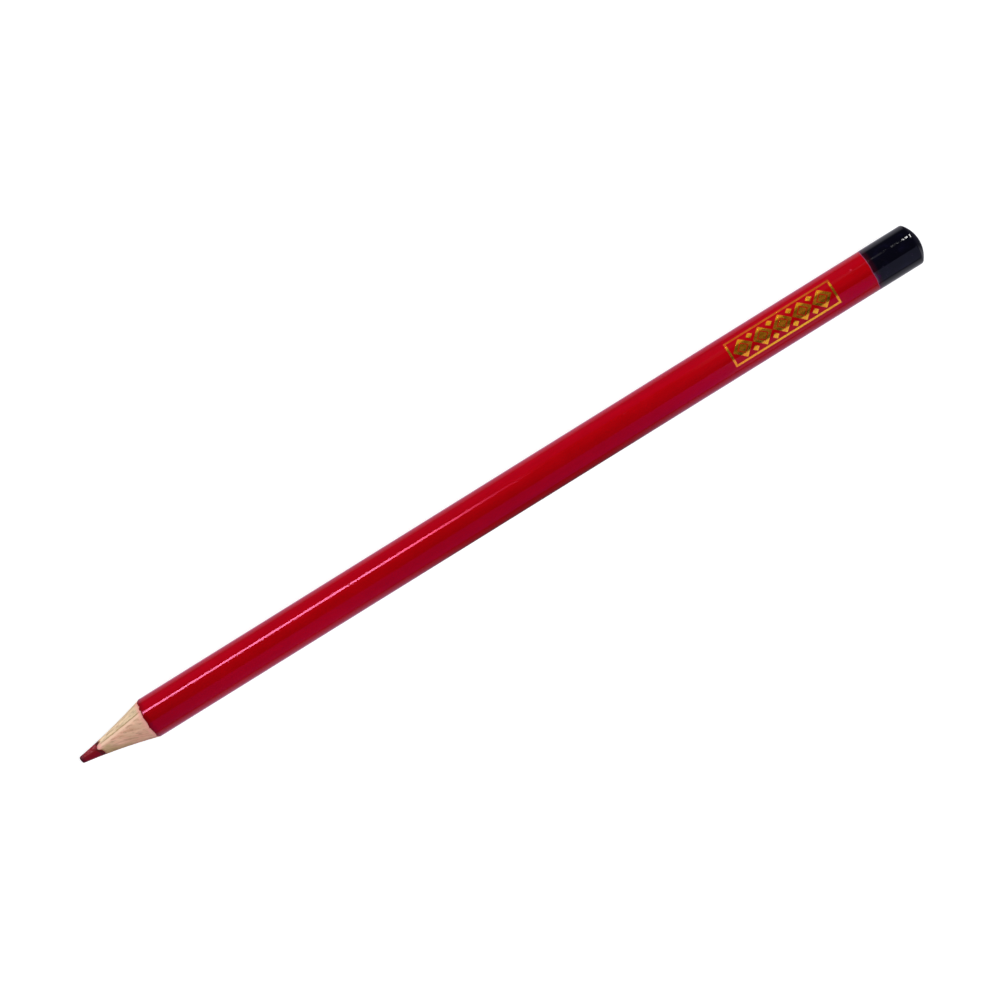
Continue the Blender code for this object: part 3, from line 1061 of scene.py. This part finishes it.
class PencilStage(Operator):
    """Sets up the camera, the pale floor and the studio light"""

    bl_idname = "pencil.stage"
    bl_label = "Stage"

    def execute(self, context):
        stage = context.scene.pencil.stage
        self.place_camera(stage)
        self.lay_floor(stage)
        self.dim_room(stage)
        self.hang_lights()
        self.hang_cards()
        view = context.scene.view_settings
        view.view_transform = "Standard"
        view.look = "None"
        return {"FINISHED"}

    def hang_lights(self):
        """Soft light from above and the rear, and low fills in front. The gloss does not show these."""
        middle = (0.0, 0.0, AXIS_Z)
        for lamp in (
            ("tip_top", (-1.0, -0.15, 1.0), (0.5, 0.5), 6.8, WHITE, middle),
            ("butt_top", (1.0, -0.15, 1.0), (0.5, 0.5), 16.1, WHITE, middle),
            ("tip_side", (-0.9, 0.9, 0.15), (0.4, 0.3), 17.5, WARM, middle),
            ("butt_side", (0.9, 0.9, 0.15), (0.4, 0.3), 27.5, WARM, middle),
            ("tip_fill", (-0.057, -0.050, 0.012), (0.054, 0.02), 1.75, WHITE),
            ("butt_fill", (0.077, -0.050, 0.012), (0.04, 0.02), 1.45, WHITE),
        ):
            soft_light(*lamp).visible_glossy = False

    def hang_cards(self):
        """Strips and cards that only the gloss shows. Some are kept off the dip, some for one piece alone."""
        cards = [
            ("strip", swung(STRIP_ROLL, STRIP_FAR, -0.158), (0.164, STRIP_WIDTH), 25.5, WHITE),
            ("barrel_fade", swung(45, 0.5, 0.1405), (0.007, 0.03), 1.6, WHITE),
            ("dip_fade", swung(45, 0.5, 0.1497), (0.006, 0.08), 0.45, WHITE),
            ("dip_dot", swung(45, 0.5, 0.1566), (0.0010, 0.08), 2.4, WHITE),
            ("dip_dash", swung(45, 0.5, 0.1588), (0.0010, 0.08), 3.0, WHITE),
            ("dip_strip", swung(45, 0.5, 0.1633), (0.0014, 0.08), 26.0, WHITE),
            ("dip_glint", (0.78, 0.38, 0.14), (0.2, 0.2), 45.0, WHITE, (BUTT_X, 0.0, AXIS_Z)),
            ("tail_strip", swung(40, 0.5, 0.5), (0.36, 0.10), 2.5, WHITE),
            ("sky_card", swung(75, 0.56, -0.0475), (0.405, 0.52), 0.45, PINK),
        ]
        for name, x, width, radiance, tint in (
            ("card", -0.235, 0.53, 0.62, PURPLE),
            ("foil_fade", 0.045, 0.03, 0.80, PURPLE),
            ("foil_front", 0.072, 0.024, 1.1, PURPLE),
            ("foil_card", 0.110, 0.052, 1.1, LILAC),
            ("foil_back", 0.14475, 0.0175, 1.1, PURPLE),
            ("dip_card", 0.677, 1.047, 0.45, COOL),
        ):
            cards.append((name, swung(FRONT_ROLL, 0.55, x), (width, FRONT_HEIGHT), radiance, tint))
        for name, roll, far, height, radiance, tint in (
            ("foil_top", 5, 0.55, 0.15, 0.17, AMBER),
            ("foil_brow", 24, 0.55, 0.23, 0.10, AMBER),
            ("foil_sky", 46, 0.55, 0.19, 0.62, STRAW),
            ("foil_rim", 73, 0.54, 0.33, 0.10, STRAW),
        ):
            cards.append((name, swung(roll, far, FOIL_X), (FOIL_WIDTH, height), radiance, tint))
        cards += [
            ("dip_side", swung(FRONT_ROLL, 0.551, -0.24), (0.72, FRONT_HEIGHT), 0.45, COOL),
            ("foil_tip_side", swung(0, 0.6, -0.6), (1.2, 1.6), 0.35, STRAW),
            ("foil_butt_side", swung(0, 0.6, 0.73), (1.0, 1.6), 0.35, STRAW),
        ]
        # The strip turns redder as it fades
        for place, radiance in enumerate(FADES):
            spot = swung(STRIP_ROLL, STRIP_FAR, FADE_START + FADE_STEP * place)
            rosy = (1.0, 0.60 - 0.017 * place**2, 0.62 - 0.008 * place**2)
            cards.append((f"strip_fade_{place}", spot, (FADE_STEP, STRIP_WIDTH), radiance, rosy))
        for card in cards:
            soft_light(*card).visible_diffuse = False
        self.reserve(("sky_card", "card", "foil_fade", "foil_front"), "black_butt", "EXCLUDE")
        self.reserve(("dip_side",), "black_butt", "INCLUDE")
        self.reserve(("foil_tip_side", "foil_butt_side"), "foil_ornament", "INCLUDE")

    def reserve(self, lights, piece, state):
        """Keeps the lights of these names off a piece, or keeps them for that piece alone."""
        group = bpy.data.collections.new(f"{state.lower()}_{piece}")
        group.objects.link(bpy.data.objects[piece])
        group.collection_objects[0].light_linking.link_state = state
        for light in lights:
            bpy.data.objects[light].light_linking.receiver_collection = group

    def place_camera(self, stage):
        """Looks down on the pencil, leaning a little towards the dip, with the picture turned."""
        camera = bpy.data.cameras.new("camera")
        camera.lens = camera.sensor_width * stage.distance / stage.width
        camera.clip_start = 0.01
        holder = linked("camera", camera)
        back = Vector((math.sin(stage.tilt), 0.0, math.cos(stage.tilt)))
        along = Vector((math.cos(stage.tilt), 0.0, -math.sin(stage.tilt)))
        across = Vector((0.0, 1.0, 0.0))
        right = along * math.cos(stage.turn) - across * math.sin(stage.turn)
        up = along * math.sin(stage.turn) + across * math.cos(stage.turn)
        place = Vector((stage.aim, 0.0, AXIS_Z)) + back * stage.distance
        holder.matrix_world = Matrix.Translation(place) @ Matrix((right, up, back)).transposed().to_4x4()
        bpy.context.scene.camera = holder

    def lay_floor(self, stage):
        """A pale floor, which the camera sees and the pencil does not reflect."""
        body = bmesh.new()
        bmesh.ops.create_grid(body, x_segments=4, y_segments=4, size=FLOOR_REACH)
        bmesh.ops.translate(body, vec=(0.0, 0.0, CAD_BOX[0].z), verts=body.verts)
        floor = shown(body, "floor", floor_finish(stage))
        floor.visible_glossy = False
        floor.visible_diffuse = False

    def dim_room(self, stage):
        """A dim room. Only the gloss sees the ground, which is dark beyond the ends except in front."""
        world = bpy.data.worlds.new("room")
        bpy.context.scene.world = world
        world.use_nodes = True
        room = Nodes(world.node_tree)
        x, y, z = room.apart(room.node("ShaderNodeTexCoord", output="Generated"))
        gloss = room.node("ShaderNodeLightPath", output="Is Glossy Ray")
        beside = room.step(room.maths("ABSOLUTE", x), 0.50, 0.25)
        lit = room.maths("MAXIMUM", beside, room.step(y, -0.08, -0.30) * 0.7)
        height = z + room.maths("MINIMUM", y, 0.0) * 0.13
        shade = room.step(y, 0.0, -0.3) * room.step(room.maths("ABSOLUTE", x + 0.04), 0.085, 0.03)
        ground = room.step(height, -0.15, -0.45) * lit * gloss * (1 - shade * 0.92)
        paper = room.mix(room.step(x, 0.115, 0.145), stage.ground, stage.butt_ground)
        tone = room.mix(ground, stage.room, paper)
        room.tree.links.new(tone.socket, world.node_tree.nodes["Background"].inputs["Color"])


class PencilPanel(Panel):
    """The pencil's pieces and settings"""

    bl_idname = "PENCIL_PT_pieces"
    bl_label = "Checking pencil"
    bl_space_type = "VIEW_3D"
    bl_region_type = "UI"
    bl_category = "Pencil"

    def draw(self, context):
        for operator in OPERATORS:
            self.layout.operator(operator.bl_idname)
        settings = context.scene.pencil
        for group in settings.__annotations__:
            box = self.layout.box()
            box.label(text=group.capitalize())
            values = getattr(settings, group)
            for name in values.__annotations__:
                box.prop(values, name)


OPERATORS = (PencilCasing, PencilLead, PencilCoats, PencilDip, PencilFoil, PencilStage)
GROUPS = (PointSettings, CasingSettings, LeadSettings, CoatSettings, DipSettings, FoilSettings, StageSettings)
CLASSES = (*GROUPS, PencilSettings, *OPERATORS, PencilPanel)


def register():
    for item in CLASSES:
        bpy.utils.register_class(item)
    bpy.types.Scene.pencil = section(PencilSettings, "Pencil", "All settings of the pencil")


def unregister():
    del bpy.types.Scene.pencil
    for item in reversed(CLASSES):
        bpy.utils.unregister_class(item)


def main():
    register()
    for operator in OPERATORS:
        group, name = operator.bl_idname.split(".")
        getattr(getattr(bpy.ops, group), name)()


if __name__ == "__main__":
    main()
